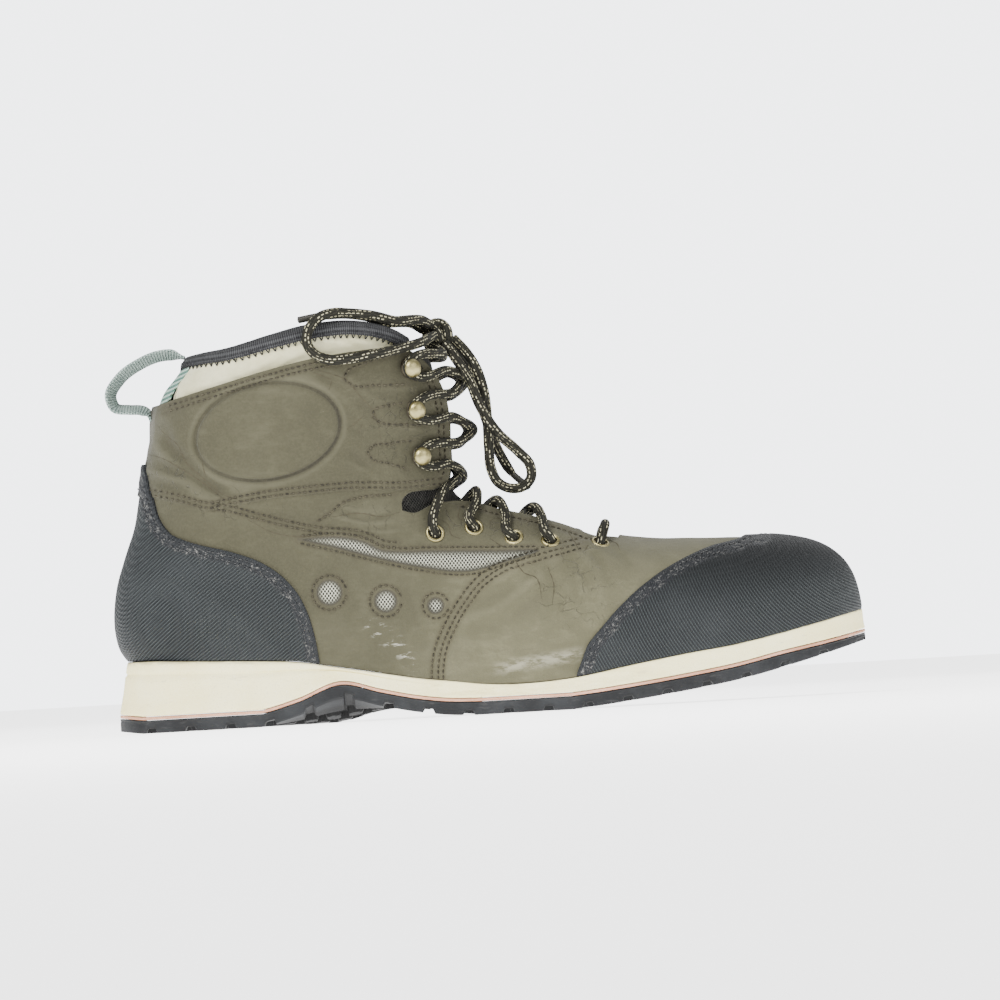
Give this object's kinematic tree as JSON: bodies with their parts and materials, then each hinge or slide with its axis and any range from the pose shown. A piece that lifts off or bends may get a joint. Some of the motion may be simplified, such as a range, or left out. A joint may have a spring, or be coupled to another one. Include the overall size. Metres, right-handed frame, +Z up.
{
  "type": "wading boot",
  "caption": "Right lace-up wading boot with a lugged sole, hard-wearing toe cap and heel counter, padded cuff and pull loop.",
  "frame": {"origin": "middle of the heel's resting spot, on the floor", "axes": "+X towards the toe, +Y towards the inner side of the foot, +Z up"},
  "size_m": [0.326, 0.114, 0.1785],
  "materials": {
    "rubber": "matt moulded rubber",
    "ply_rubber": "matt salmon rubber sheet",
    "foam": "fine-celled cream foam",
    "lining": "dark knitted lining",
    "leather": "worn nubuck",
    "ribbed_fabric": "rubberised ribbed fabric",
    "cream_nubuck": "soft nubuck",
    "tape": "woven tape",
    "textile": "padded textile",
    "brass": "antique brass",
    "lace": "round woven cord with light flecks",
    "webbing": "woven webbing"
  },
  "bodies": {
    "root": {"outsole": "rubber", "outsole_ply": "ply_rubber", "midsole": "foam", "insole": "lining", "upper": "leather", "toe_cap": "ribbed_fabric", "heel_counter": "ribbed_fabric", "tongue": "textile", "cuff": "cream_nubuck", "collar_binding": "tape", "eyelet_lateral_1": "brass", "eyelet_lateral_2": "brass", "eyelet_lateral_3": "brass", "eyelet_lateral_4": "brass", "eyelet_lateral_5": "brass", "eyelet_medial_1": "brass", "eyelet_medial_2": "brass", "eyelet_medial_3": "brass", "eyelet_medial_4": "brass", "eyelet_medial_5": "brass", "hook_lateral_1": "brass", "hook_lateral_2": "brass", "hook_lateral_3": "brass", "hook_medial_1": "brass", "hook_medial_2": "brass", "hook_medial_3": "brass", "lace_crossings": "lace", "lace_bow": "lace", "pull_loop": "webbing"}
  },
  "joints": []
}
